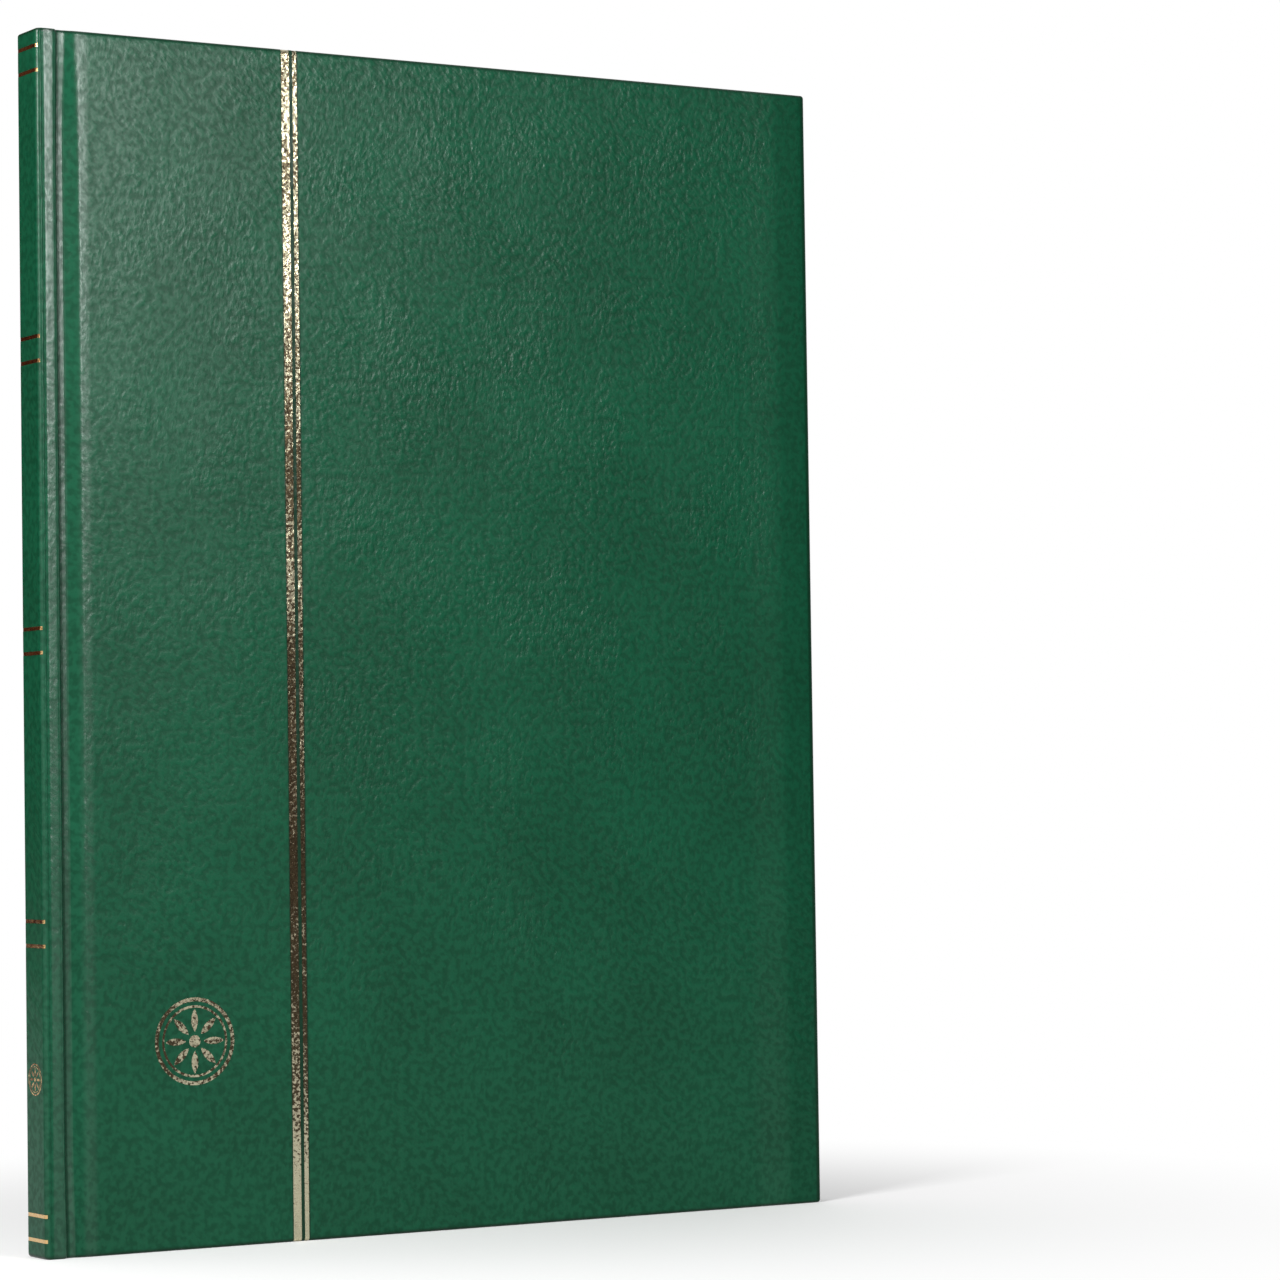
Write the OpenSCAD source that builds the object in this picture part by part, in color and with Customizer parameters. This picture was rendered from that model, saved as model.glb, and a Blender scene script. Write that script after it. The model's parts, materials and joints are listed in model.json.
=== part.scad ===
// Stock album for stamps: A4 black leaves with clear film pockets on both faces,
// hinged on linen in a leatherette case with a square spine and a French groove
// along each cover. The album stands closed on its tail edge. X runs from the
// spine to the fore-edge, Y from the front cover to the back cover and Z from
// tail to head, with the origin at the middle of the foot.

/* [Case] */
// Width from the spine's face to the fore-edge
album_w = 230; // [160:1:300]
// Height from tail to head
album_h = 305; // [290:1:360]
// Thickness of the two cover boards
board_t = 2; // [1.5:0.1:3]
// Thickness of the spine board
spine_board_t = 1.8; // [1.2:0.1:2.4]
// Thickness of the leatherette
skin_t = 0.35; // [0.25:0.05:0.45]
// Thickness of the paper pasted inside each cover
paste_t = 0.15; // [0.1:0.01:0.3]
// Width of leatherette turned in over each board
turn_in_w = 15; // [8:1:25]
// Leatherette left bare round the pasted paper
paste_margin = 3; // [1:0.5:6]
// Overhang of the covers past the leaves
cover_square = 4; // [2:0.5:6]
// Radius of the covers' edges
edge_r = 0.9; // [0.6:0.05:0.9]

/* [Spine and groove] */
// Radius of the two long corners of the spine
spine_r = 1.2; // [1:0.1:1.5]
// Width of the ridge, from the spine's face to the groove
ridge_w = 5.6; // [5:0.1:8]
// Radius of the ridge's inner edge
ridge_r = 1.3; // [1:0.05:1.35]
// Depth of the groove
groove_d = 1.8; // [1.75:0.05:2]
// Radius at the foot of the ridge
groove_r = 0.4; // [0.2:0.05:0.4]
// Reach from the foot of the ridge to the line where the case folds
fold_set = 0.9; // [0.6:0.1:1.5]
// Floor of the groove on the cover's side of the fold
floor_w = 0.7; // [0.5:0.1:1.2]
// Width of the slope that climbs from the floor to the board
slope_w = 3.3; // [2.8:0.1:4]
// Radius where the slope meets the cover
shoulder_r = 3.9; // [2:0.1:5]
// Reach from the fold to the board
board_set = 3; // [2.6:0.1:3.4]

/* [Leaves] */
// Number of leaves, half of them on each side of the middle opening
leaf_count = 8; // [4:2:12]
// Pitch of the leaves in the closed album
leaf_pitch = 0.875; // [0.85:0.005:1.1]
// Thickness of a leaf's card
card_t = 0.45; // [0.3:0.01:0.5]
// Reach from the spine's face to the hinge of the outermost leaves
first_hinge_x = 8.6; // [8.6:0.1:12]
// Free linen between a leaf's hinge line and its card
web_w = 4.5; // [3:0.5:8]
// Thickness of the linen
linen_t = 0.08; // [0.05:0.01:0.1]
// Width of linen pasted on each face of a leaf
flange_w = 6; // [4:0.5:12]
// Thickness of a glassine interleaf
glassine_t = 0.05; // [0.03:0.01:0.06]
// Inset of an interleaf from the edges of the leaves
glassine_inset = 1.5; // [0.5:0.5:4]

/* [Pockets] */
// Number of film strips on each face of a leaf
strip_count = 9; // [4:1:9]
// Height of a film strip
strip_h = 25; // [15:0.5:26]
// Card left bare between two strips
strip_gap = 4.2; // [2:0.1:5]
// Card left bare above the top strip
strip_top = 26; // [10:0.5:28]
// Card left bare between the hinge side of a leaf and the strips
strip_gutter = 15; // [8:0.5:25]
// Card left bare between the strips and the fore-edge
strip_margin = 6; // [2:0.5:15]
// Thickness of the film
film_t = 0.07; // [0.04:0.01:0.08]

/* [Gold blocking] */
// Distance from the spine's face to the pair of lines on the cover
line_x = 68.1; // [40:0.1:100]
// Width of the broad line
broad_w = 2.7; // [1:0.1:5]
// Width of the fine line
fine_w = 1.5; // [0.5:0.1:3]
// Leatherette left between the two lines
line_gap = 0.8; // [0.4:0.1:3]
// Number of pairs of fillets across the spine
fillet_pairs = 5; // [2:1:7]
// Distance from head or tail to the nearest fillet
fillet_end = 4; // [2:0.5:12]
// Distance between the two fillets of a pair
fillet_pitch = 6.1; // [2:0.1:10]
// Width of a fillet
fillet_w = 0.9; // [0.4:0.1:2]
// Radius of the rosette on the cover
rosette_r = 11; // [5:0.5:20]
// Distance from the spine's face to the middle of the cover's rosette
rosette_x = 40.8; // [25:0.1:52]
// Height of the middle of the cover's rosette
rosette_z = 52; // [25:0.5:250]
// Radius of the rosette on the spine
spine_rosette_r = 4; // [2:0.1:4.5]
// Height of the middle of the spine's rosette
spine_rosette_z = 44; // [25:0.5:60]
// Number of petals in a rosette
petal_count = 8; // [5:1:12]
// Depth that the blocking is pressed in
foil_sink = 0.1; // [0.08:0.01:0.2]
// Thickness of the gold
foil_t = 0.06; // [0.03:0.01:0.07]

/* [Hidden] */
$fn = 64;
shoulder_steps = 8;      // flats round the shoulder between groove and cover
fold_gap = 0.1;          // clearance of a bead from what it turns against
leaf_bead_r = 0.2;       // radius of the linen bead on a leaf's hinge line
glassine_bead_r = 0.12;  // radius of the bead on an interleaf's hinge line

// Covers: depths are measured from the outer face
cover_in = skin_t + board_t;
cover_t = cover_in + paste_t;
slope_a = atan(groove_d / slope_w);
bisector = tan(slope_a / 2);

// Case: places across the album are measured from the spine's face
album_t = 2 * cover_t + leaf_count * leaf_pitch;
fold_x = ridge_w + groove_r + fold_set;
fold_y = groove_d + skin_t / 2;
fold_bead_r = skin_t / 2;
spine_skin_x = fold_x - fold_bead_r - fold_gap;
board_x = fold_x + board_set;
paste_x = fold_x + skin_t;
lining_x = skin_t + spine_board_t;
stub_x = lining_x + skin_t;

// Leaves
leaf_x1 = album_w - cover_square;
leaf_z0 = cover_square;
leaf_h = album_h - 2 * cover_square;
stub_t = leaf_pitch / 2;
shoulder_y = cover_t + leaf_pitch / 4;

// Each hinge line stands one pitch further out than its outer neighbour's, so
// that the leaves lie one on the other when the album is open.
function leaf_y(k) = cover_t + (k - 0.5) * leaf_pitch;
function leaf_x(k) = first_hinge_x + (min(k, leaf_count + 1 - k) - 1) * leaf_pitch;
function glassine_y(k) = cover_t + k * leaf_pitch;
function glassine_x(k) = first_hinge_x + (min(k, leaf_count - k) - 0.5) * leaf_pitch;
function strip_z(k) = leaf_z0 + leaf_h - strip_top - strip_h - k * (strip_h + strip_gap);

// Heights of the fillets, spread evenly from tail to head
fillet_span = album_h - 2 * fillet_end - fillet_pitch - fillet_w;
fillet_step = fillet_span / (fillet_pairs - 1);
fillets = [for (i = [0 : fillet_pairs - 1], j = [0, 1])
    fillet_end + i * fillet_step + j * fillet_pitch];

LEAVES = [1 : leaf_count];
INTERLEAVES = [1 : leaf_count - 1];

leather_green = [0.13, 0.33, 0.25];
board_grey = [0.55, 0.5, 0.43];
page_black = [0.06, 0.06, 0.06];
linen_black = [0.12, 0.12, 0.12];
lining_tan = [0.72, 0.66, 0.54];
gold = [0.8, 0.66, 0.34];
film_clear = [0.85, 0.9, 0.92, 0.4];
glassine_white = [0.88, 0.88, 0.84, 0.6];

// ---- Placing ----

// Takes a piece drawn from the front corner of the spine to the album's frame
module in_album() {
    translate([-album_w / 2, -album_t / 2, 0]) children();
}

// Turns a piece of the front cover into its twin on the back cover
module to_back() {
    translate([0, album_t, 0]) mirror([0, 1, 0]) children();
}

// A slab of the given box, from low corner to high corner
module slab(low, high) {
    translate(low) cube(high - low);
}

// ---- Outlines across the album ----

// Adds a shape's twin on the back of the album
module both_sides() {
    children();
    to_back() children();
}

// Outline of the spine, set in by a depth: corners, ridges and grooves
module spine_section(depth) {
    foot = [ridge_w + groove_r, groove_d - groove_r];
    ridge_x = ridge_w - ridge_r;
    both_sides() {
        translate([spine_r, spine_r]) circle(spine_r - depth);
        translate([ridge_x, ridge_r]) circle(ridge_r - depth);
        section(depth, spine_r, spine_r, album_t / 2);
        section(spine_r, depth, ridge_x, album_t / 2);
        section(ridge_x, ridge_r, ridge_w - depth, album_t / 2);
        section(ridge_x, groove_d + depth, spine_skin_x, album_t / 2);
        difference() {
            section(ridge_x, foot[1], foot[0], groove_d + depth);
            translate(foot) circle(groove_r + depth);
        }
    }
}

// Outline of a cover, set in by a depth: groove, slope, outer face and fore-edge
module cover_section(depth) {
    shoulder = [fold_x + floor_w + slope_w + shoulder_r * bisector, shoulder_r];
    edge_x = album_w - edge_r;
    inner_y = cover_in - depth;
    polygon(concat(
        [[fold_x, groove_d + skin_t], [fold_x, groove_d + depth]],
        [[fold_x + floor_w + depth * bisector, groove_d + depth]],
        [for (i = [0 : shoulder_steps]) let (a = slope_a * (1 - i / shoulder_steps))
            shoulder - (shoulder_r - depth) * [sin(a), cos(a)]],
        [[edge_x, depth], [edge_x, inner_y], [paste_x, inner_y]]
    ));
    section(shoulder[0], edge_r, album_w - depth, cover_in - edge_r);
    for (y = [edge_r, cover_in - edge_r])
        translate([edge_x, y]) circle(edge_r - depth);
}

// A rectangle from its low corner to its high corner
module section(x0, y0, x1, y1) {
    translate([x0, y0]) square([x1 - x0, y1 - y0]);
}

// ---- Solids of the case ----

// The spine set in by a depth, over the given heights
module spine_form(depth, z0, z1) {
    translate([0, 0, z0]) linear_extrude(z1 - z0) spine_section(depth);
}

// A layer of the spine between two depths and between two places across it
module spine_layer(outer, inner, x0, x1, z0, z1) {
    intersection() {
        difference() {
            spine_form(outer, z0, z1);
            spine_form(inner, z0 - 1, z1 + 1);
        }
        slab([x0, 0, z0], [x1, album_t, z1]);
    }
}

// The part of the spine's filling that lies between two places across it
module spine_filling(x0, x1, z0, z1) {
    intersection() {
        spine_form(skin_t, z0, z1);
        slab([x0, 0, z0], [x1, album_t, z1]);
    }
}

// A rounded rectangle with its low corner at the given inset
module rounded_section(w, h, inset, r) {
    section(inset + r, inset, w - inset - r, h - inset);
    section(inset, inset + r, w - inset, h - inset - r);
    for (x = [inset + r, w - inset - r], y = [inset + r, h - inset - r])
        translate([x, y]) circle(r);
}

// A cover set in by a depth on every side
module cover_form(depth) {
    intersection() {
        linear_extrude(album_h) cover_section(depth);
        rotate([90, 0, 90]) linear_extrude(album_w)
            rounded_section(cover_in, album_h, depth, edge_r - depth);
    }
}

// A board: its inner edges are pressed down by the leatherette turned in over them
module board() {
    intersection() {
        cover_form(skin_t);
        slab([board_x, 0, 0], [album_w, cover_in, album_h]);
    }
    slab([board_x, cover_in / 2, turn_in_w],
         [album_w - turn_in_w, cover_in, album_h - turn_in_w]);
}

// Leatherette of one cover, round the board and out to the bead on the fold
module cover_skin() {
    difference() {
        cover_form(0);
        board();
    }
    translate([fold_x, fold_y, edge_r])
        cylinder(r = fold_bead_r, h = album_h - 2 * edge_r);
}

module pastedown() {
    slab([paste_x, cover_in, paste_margin],
         [album_w - paste_margin, cover_t, album_h - paste_margin]);
}

// ---- Gold blocking ----

// Layer of a cover's surface between two depths, under the two lines
module line_layer(outer, inner) {
    broad_x1 = line_x + broad_w;
    fine_x0 = broad_x1 + line_gap;
    intersection() {
        difference() {
            cover_form(outer);
            cover_form(inner);
        }
        union() {
            slab([line_x, 0, 0], [broad_x1, cover_in / 2, album_h]);
            slab([fine_x0, 0, 0], [fine_x0 + fine_w, cover_in / 2, album_h]);
        }
    }
}

// Layer of the spine's surface between two depths, under the fillets
module fillet_layer(outer, inner) {
    for (z = fillets)
        spine_layer(outer, inner, 0, spine_r, z, z + fillet_w);
}

// Rosette: a double ring round pointed petals and a boss
module rosette_section(r) {
    ring_w = r * 0.09;
    petal_l = r * 0.52;
    boss_r = r * 0.14;
    difference() {
        circle(r);
        circle(r - ring_w);
    }
    difference() {
        circle(r - 2 * ring_w);
        circle(r - 2.6 * ring_w);
    }
    for (i = [0 : petal_count - 1])
        rotate(i * 360 / petal_count) translate([r * 0.48, 0]) intersection() {
            translate([0, petal_l * 0.7]) circle(petal_l * 0.86);
            translate([0, -petal_l * 0.7]) circle(petal_l * 0.86);
        }
    circle(boss_r);
}

// Cover's rosette between two depths
module cover_rosette_layer(outer, inner) {
    translate([rosette_x, inner, rosette_z]) rotate([90, 0, 0])
        linear_extrude(inner - outer) rosette_section(rosette_r);
}

// Spine's rosette between two depths
module spine_rosette_layer(outer, inner) {
    translate([outer, album_t / 2, spine_rosette_z]) rotate([90, 0, 90])
        linear_extrude(inner - outer) rosette_section(spine_rosette_r);
}

// ---- Sub-parts of the case ----

module front_board() {
    color(board_grey) in_album() board();
}

module back_board() {
    color(board_grey) in_album() to_back() board();
}

module spine_board() {
    color(board_grey) in_album()
        spine_filling(skin_t, lining_x, skin_t, album_h - skin_t);
}

module front_leatherette() {
    color(leather_green) in_album() difference() {
        cover_skin();
        line_layer(-foil_sink, foil_sink);
        cover_rosette_layer(-foil_sink, foil_sink);
    }
}

module back_leatherette() {
    color(leather_green) in_album() to_back() cover_skin();
}

// Leatherette of the spine: turned in over the ends of the spine board, and on
// itself where the ridges pass the ends of the stubs
module spine_leatherette() {
    color(leather_green) in_album() difference() {
        union() {
            spine_layer(0, skin_t, 0, spine_skin_x, 0, album_h);
            spine_filling(skin_t, stub_x, 0, skin_t);
            spine_filling(skin_t, stub_x, album_h - skin_t, album_h);
            spine_filling(lining_x, stub_x, 0, turn_in_w);
            spine_filling(lining_x, stub_x, album_h - turn_in_w, album_h);
            spine_layer(skin_t, 2 * skin_t, stub_x, spine_skin_x, 0, leaf_z0);
            spine_layer(skin_t, 2 * skin_t, stub_x, spine_skin_x,
                        leaf_z0 + leaf_h, album_h);
        }
        fillet_layer(-foil_sink, foil_sink);
        spine_rosette_layer(-foil_sink, foil_sink);
    }
}

module front_pastedown() {
    color(page_black) in_album() pastedown();
}

module back_pastedown() {
    color(page_black) in_album() to_back() pastedown();
}

module spine_lining() {
    color(lining_tan) in_album()
        spine_filling(lining_x, stub_x, turn_in_w, album_h - turn_in_w);
}

// Card stubs that carry the leaves' linen hinges, one to a leaf
module leaf_stubs() {
    color(page_black) in_album() for (k = LEAVES)
        slab([stub_x, leaf_y(k) - stub_t / 2, leaf_z0],
             [leaf_x(k) - leaf_bead_r - fold_gap, leaf_y(k) + stub_t / 2, leaf_z0 + leaf_h]);
}

// Card stubs between them, one to an interleaf
module interleaf_stubs() {
    color(linen_black) in_album() for (k = INTERLEAVES)
        slab([stub_x, glassine_y(k) - stub_t / 2, leaf_z0],
             [glassine_x(k) - glassine_bead_r - fold_gap,
              glassine_y(k) + stub_t / 2, leaf_z0 + leaf_h]);
}

// Strip that fills one ridge and beds the outermost stub
module shoulder_filler() {
    intersection() {
        spine_form(skin_t, leaf_z0, leaf_z0 + leaf_h);
        slab([stub_x, 0, leaf_z0], [spine_skin_x, shoulder_y, leaf_z0 + leaf_h]);
    }
    slab([stub_x, cover_t, leaf_z0],
         [first_hinge_x - leaf_pitch, shoulder_y, leaf_z0 + leaf_h]);
}

module shoulder_fillers() {
    color(lining_tan) in_album() both_sides() shoulder_filler();
}

module cover_gold_lines() {
    color(gold) in_album() line_layer(foil_sink - foil_t, foil_sink);
}

module spine_gold_fillets() {
    color(gold) in_album() fillet_layer(foil_sink - foil_t, foil_sink);
}

module cover_rosette() {
    color(gold) in_album() cover_rosette_layer(foil_sink - foil_t, foil_sink);
}

module spine_rosette() {
    color(gold) in_album() spine_rosette_layer(foil_sink - foil_t, foil_sink);
}

// ---- Sub-parts of a leaf ----

module leaf_card(k) {
    color(page_black) in_album()
        slab([leaf_x(k) + web_w, leaf_y(k) - card_t / 2, leaf_z0],
             [leaf_x1, leaf_y(k) + card_t / 2, leaf_z0 + leaf_h]);
}

// Film strips of both faces; each is sealed along its lower edge and open above
module leaf_strips(k) {
    strip_x0 = leaf_x(k) + web_w + strip_gutter;
    color(film_clear) in_album()
        for (i = [0 : strip_count - 1], y = [card_t / 2, -card_t / 2 - film_t])
            slab([strip_x0, leaf_y(k) + y, strip_z(i)],
                 [leaf_x1 - strip_margin, leaf_y(k) + y + film_t, strip_z(i) + strip_h]);
}

// Two layers of linen: a bead on the hinge line, a free web and a flange on each
// face of the card
module leaf_hinge(k) {
    card_x = leaf_x(k) + web_w;
    color(linen_black) in_album() difference() {
        union() {
            translate([leaf_x(k), leaf_y(k), leaf_z0]) cylinder(r = leaf_bead_r, h = leaf_h);
            slab([leaf_x(k), leaf_y(k) - linen_t, leaf_z0],
                 [card_x, leaf_y(k) + linen_t, leaf_z0 + leaf_h]);
            slab([card_x - linen_t, leaf_y(k) - card_t / 2 - linen_t, leaf_z0],
                 [card_x + flange_w, leaf_y(k) + card_t / 2 + linen_t, leaf_z0 + leaf_h]);
        }
        slab([card_x, leaf_y(k) - card_t / 2, leaf_z0 - 1],
             [leaf_x1, leaf_y(k) + card_t / 2, leaf_z0 + leaf_h + 1]);
    }
}

// Glassine sheet with a pasted bead along its hinge line
module interleaf(k) {
    z0 = leaf_z0 + glassine_inset;
    z1 = leaf_z0 + leaf_h - glassine_inset;
    color(glassine_white) in_album() {
        translate([glassine_x(k), glassine_y(k), z0]) cylinder(r = glassine_bead_r, h = z1 - z0);
        slab([glassine_x(k), glassine_y(k) - glassine_t / 2, z0],
             [leaf_x1 - glassine_inset, glassine_y(k) + glassine_t / 2, z1]);
    }
}

// ---- Drawing ----

front_board();
back_board();
spine_board();
front_leatherette();
back_leatherette();
spine_leatherette();
front_pastedown();
back_pastedown();
spine_lining();
leaf_stubs();
interleaf_stubs();
shoulder_fillers();
cover_gold_lines();
spine_gold_fillets();
cover_rosette();
spine_rosette();
for (k = LEAVES) {
    leaf_card(k);
    leaf_strips(k);
    leaf_hinge(k);
}
for (k = INTERLEAVES) {
    interleaf(k);
}
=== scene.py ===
"""Looks of a stock album for stamps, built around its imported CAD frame.

The album stands closed on its tail edge. Lengths are in metres. Pieces are drawn in
the album's own coordinates: x from the spine's face towards the fore-edge, y from the
outer face of a cover inwards, and z up from the tail. A piece of the back half is the
mirror of its twin in the front half.
"""

import json
import math

import bmesh
import bpy
import numpy as np
from mathutils import Matrix, Vector, noise


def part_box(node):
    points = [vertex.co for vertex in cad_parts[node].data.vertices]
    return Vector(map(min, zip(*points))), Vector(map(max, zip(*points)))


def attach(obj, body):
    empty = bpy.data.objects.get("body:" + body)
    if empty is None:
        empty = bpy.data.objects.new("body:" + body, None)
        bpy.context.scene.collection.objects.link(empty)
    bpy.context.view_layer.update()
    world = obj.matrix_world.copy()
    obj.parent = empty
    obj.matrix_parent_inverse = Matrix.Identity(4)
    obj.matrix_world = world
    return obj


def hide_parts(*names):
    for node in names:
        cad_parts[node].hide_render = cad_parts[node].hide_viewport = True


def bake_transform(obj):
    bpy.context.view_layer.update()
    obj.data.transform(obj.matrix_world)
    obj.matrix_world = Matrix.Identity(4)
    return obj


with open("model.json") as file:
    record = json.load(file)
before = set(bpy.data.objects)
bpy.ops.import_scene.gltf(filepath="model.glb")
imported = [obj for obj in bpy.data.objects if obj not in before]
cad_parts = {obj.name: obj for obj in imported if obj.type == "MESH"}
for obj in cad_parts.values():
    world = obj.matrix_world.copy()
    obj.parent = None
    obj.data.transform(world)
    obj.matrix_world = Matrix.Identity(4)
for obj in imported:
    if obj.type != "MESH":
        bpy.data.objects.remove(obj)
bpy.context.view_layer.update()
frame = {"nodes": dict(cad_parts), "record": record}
NODES = frame["nodes"]

MM = 0.001

# ---- Sizes from the frame ----

spine_low, spine_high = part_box("spine_leatherette")
board_low, board_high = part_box("front_board")
paper_low, paper_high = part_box("front_pastedown")
lining_low, lining_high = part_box("spine_lining")
fillets_low, fillets_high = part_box("spine_gold_fillets")

SPINE_X = spine_low.x
FRONT_Y = spine_low.y
BACK_Y = spine_high.y
ALBUM_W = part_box("front_leatherette")[1].x - SPINE_X
ALBUM_T = BACK_Y - FRONT_Y
ALBUM_H = spine_high.z
SKIN_T = board_low.y - FRONT_Y
COVER_IN = board_high.y - FRONT_Y
PAPER_T = paper_high.y - paper_low.y
PAPER_MARGIN = paper_low.z
SPINE_IN = lining_high.x - SPINE_X
TURN_IN_W = lining_low.z
LEAF_Z0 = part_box("leaf_1_card")[0].z
LINE_X0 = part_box("cover_gold_lines")[0].x - SPINE_X

# ---- Sizes that the frame doesn't give ----

EDGE_R = 0.9 * MM  # rounding of the covers' edges
SPINE_R = 1.2 * MM  # the spine's two long corners
CREASE_W = 0.9 * MM  # the crease between the spine's corner and the ridge
CREASE_D = 0.16 * MM
RIDGE_W = 5.6 * MM
RIDGE_R = 1.3 * MM
GROOVE_D = 1.8 * MM
GROOVE_R = 0.4 * MM
FLOOR_X = 7.6 * MM  # where the groove's floor meets the slope
SLOPE_W = 3.3 * MM
SHOULDER_R = 3.9 * MM
FOLD_X = 6.9 * MM  # the line on which a cover turns
FOLD_BEFORE = 0.45 * MM  # how far the bend reaches from that line towards the spine
STUB_GAP = 0.1 * MM  # between the covering turned in at the folds and the leaves' stubs
BROAD_W = 2.25 * MM  # the broad gold line
FINE_W = 1.2 * MM  # the fine gold line
LINE_GAP = 0.95 * MM
FOIL_SINK = 0.1 * MM
FOIL_T = 0.06 * MM
WALL_W = 0.05 * MM  # width of the wall of a blocked line
FILLET_PAIRS = 5
FILLET_W = 0.9 * MM
FILLET_PITCH = 6.1 * MM
FILLET_REACH = 0.5 * MM  # how far the fillets go round the spine's corners
GROOVE_FADE = 0.6  # share of the groove's depth that is lost at head and tail
FADE_REACH = 30 * MM
EDGE_FALL = 0.12 * MM  # how far the cover falls away towards its fore-edge
FALL_W = 10 * MM
RELIEF = 0.07 * MM  # how far the covering rises and falls over the boards
RELIEF_X = 14 * MM  # where that relief begins, past the groove's shoulder
RELIEF_MARGIN = 2 * MM  # and how far it stays from the cover's free edges
RELIEF_FADE = 12 * MM  # the way over which it grows to its full height
CREASED_Z = 220 * MM  # the height below which the covering is creased
CREASED_FADE = 160 * MM

# ---- How finely the covering is drawn, before the walls of the blocking are added ----

COVER_COLUMNS = 91
SKIN_ROWS = 122


# ---- Numbers ----


def smooth_step(t):
    t = np.clip(t, 0, 1)
    return t * t * (3 - 2 * t)


def arc(centre, radius, start, end, steps):
    """Points round a circle between two angles in degrees, without the first."""
    turns = np.radians(np.linspace(start, end, steps + 1)[1:])
    return [np.array(centre) + radius * np.array([math.cos(a), math.sin(a)]) for a in turns]


def line_to(points, end, steps):
    """Adds evenly spaced points from the last one to end."""
    first = points[-1]
    points += [first + (np.array(end) - first) * k / steps for k in range(1, steps + 1)]


def merged(*groups, least=0.04 * MM):
    """The values of all groups in order, without those too close to a value kept before."""
    kept = []
    for value in np.concatenate(groups):
        if all(abs(value - k) >= least for k in kept):
            kept.append(value)
    return np.array(sorted(kept))


# ---- The leatherette's outline ----


def case_outline():
    """Outline of the front half from the spine's middle to the flat of the cover."""
    slope = math.atan2(GROOVE_D, SLOPE_W)
    tilt = math.degrees(slope)
    shoulder = np.array([FLOOR_X + SLOPE_W + SHOULDER_R * math.tan(slope / 2), SHOULDER_R])
    ridge = (RIDGE_W - RIDGE_R, RIDGE_R)
    foot = (RIDGE_W + GROOVE_R, GROOVE_D - GROOVE_R)
    points = [np.array([0, ALBUM_T / 2])]
    line_to(points, (0, SPINE_R), 6)
    points += arc((SPINE_R, SPINE_R), SPINE_R, 180, 270, 10)
    points += [np.array([SPINE_R + CREASE_W * t, CREASE_D * math.sin(math.pi * t) ** 2])
               for t in np.linspace(0, 1, 9)[1:]]
    line_to(points, (ridge[0], 0), 4)
    points += arc(ridge, RIDGE_R, 270, 360, 9)
    line_to(points, (RIDGE_W, foot[1]), 1)
    points += arc(foot, GROOVE_R, 180, 90, 6)
    line_to(points, (FLOOR_X, GROOVE_D), 12)
    line_to(points, shoulder - SHOULDER_R * np.array([math.sin(slope), math.cos(slope)]), 4)
    points += arc(shoulder, SHOULDER_R, 270 - tilt, 270, 10)
    return points


def line_edges():
    """Both edges of the broad and of the fine gold line, from the spine's face."""
    fine_x = LINE_X0 + BROAD_W + LINE_GAP
    return (LINE_X0, LINE_X0 + BROAD_W), (fine_x, fine_x + FINE_W)


def fillet_heights():
    """Low edges of the gold fillets on the spine."""
    last = fillets_high.z - FILLET_W - FILLET_PITCH
    pairs = np.linspace(fillets_low.z, last, FILLET_PAIRS)
    return [z + step for z in pairs for step in (0, FILLET_PITCH)]


def cover_columns(first):
    """Places across the flat of a cover, with the walls of the blocked lines."""
    walls = [w for a, b in line_edges() for w in (a - WALL_W, a, b, b + WALL_W)]
    corner = ALBUM_W - EDGE_R
    near_edge = [corner, ALBUM_W - PAPER_MARGIN, ALBUM_W - TURN_IN_W]
    return merged(walls, near_edge, np.linspace(first, corner, COVER_COLUMNS + 1)[1:])


def row_heights():
    """Heights of the rows of the skin's mesh, with the walls of the blocked fillets."""
    walls = [w for z in fillet_heights()
             for w in (z - WALL_W, z, z + FILLET_W, z + FILLET_W + WALL_W)]
    low_end = np.concatenate([[EDGE_R], np.arange(2 * MM, TURN_IN_W, 1.2 * MM)])
    even = np.linspace(EDGE_R, ALBUM_H - EDGE_R, SKIN_ROWS)
    return merged(walls, low_end, ALBUM_H - low_end, even)


def groove_left(z):
    """Share of the groove's depth that is left at a height."""
    return 1 - GROOVE_FADE * (1 - smooth_step(min(z, ALBUM_H - z) / FADE_REACH))


def relief(x, z):
    """Slow rise and fall of the covering over a board, and its fall at the fore-edge."""
    fall = -EDGE_FALL * max(1 - (ALBUM_W - x) / FALL_W, 0) ** 2
    free = min(ALBUM_W - x, z, ALBUM_H - z)
    inset = min(x - RELIEF_X, free - RELIEF_MARGIN)
    if inset <= 0:
        return fall
    swell = noise.noise(Vector((x * 50, 0.7, z * 38)))
    crease = noise.noise(Vector(((x + z) * 60, 5.2, (z - x) * 150)))
    lower = float(smooth_step((CREASED_Z - z) / CREASED_FADE))
    share = float(smooth_step(inset / RELIEF_FADE))
    return fall + RELIEF * share * (swell + 0.4 * lower * crease)


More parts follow.
